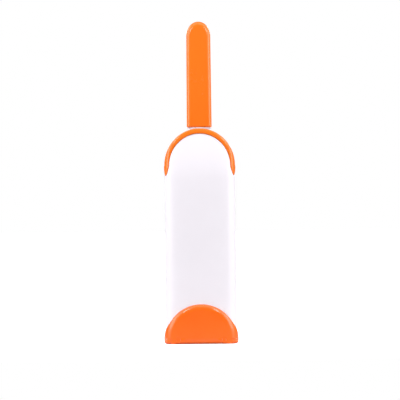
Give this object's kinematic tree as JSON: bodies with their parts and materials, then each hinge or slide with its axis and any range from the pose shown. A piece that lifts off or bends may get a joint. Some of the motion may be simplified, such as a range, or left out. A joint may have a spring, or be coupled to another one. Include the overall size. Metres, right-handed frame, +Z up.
{
  "type": "double-sided lint brush with self-cleaning base",
  "caption": "Double-sided lint and pet-hair brush with a long handle, parked upright in a self-cleaning sleeve base with an emptying door at its foot.",
  "frame": {"origin": "on the floor, under the middle of the base", "axes": "+Z up along the handle, +X to the right seen from the front, front (the emptying door) towards -Y"},
  "size_m": [0.0738, 0.049, 0.32],
  "materials": {
    "orange_plastic": "satin gloss moulded plastic",
    "white_plastic": "satin moulded plastic",
    "foam": "closed-cell foam",
    "lint_velour": "directional pile",
    "screw_steel": "zinc plated"
  },
  "bodies": {
    "base": {"base_cap": "orange_plastic", "front_shell": "white_plastic", "rear_shell": "white_plastic", "mouth_ring": "orange_plastic", "front_wiper_carrier": "white_plastic", "front_wiper_foam": "foam", "front_wiper_fabric": "lint_velour", "rear_wiper_carrier": "white_plastic", "rear_wiper_foam": "foam", "rear_wiper_fabric": "lint_velour", "base_screw_left": "screw_steel", "base_screw_right": "screw_steel"},
    "door": {"fur_door": "orange_plastic", "door_hinge_pin": "screw_steel"},
    "brush": {"paddle_frame": "white_plastic", "front_pad_plate": "white_plastic", "front_pad_foam": "foam", "front_lint_fabric": "lint_velour", "rear_pad_plate": "white_plastic", "rear_pad_foam": "foam", "rear_lint_fabric": "lint_velour", "handle_front_shell": "orange_plastic", "handle_rear_shell": "orange_plastic", "handle_screw_lower": "screw_steel", "handle_screw_upper": "screw_steel"}
  },
  "joints": [
    {"name": "brush_slide", "type": "slide", "parent": "base", "child": "brush", "axis": [0, 0, 1], "range_m": [0, 0.175]},
    {"name": "door_hinge", "type": "hinge", "parent": "base", "child": "door", "pos_m": [0, -0.0208, 0.0041], "axis": [1, 0, 0], "range_deg": [0, 90]}
  ]
}
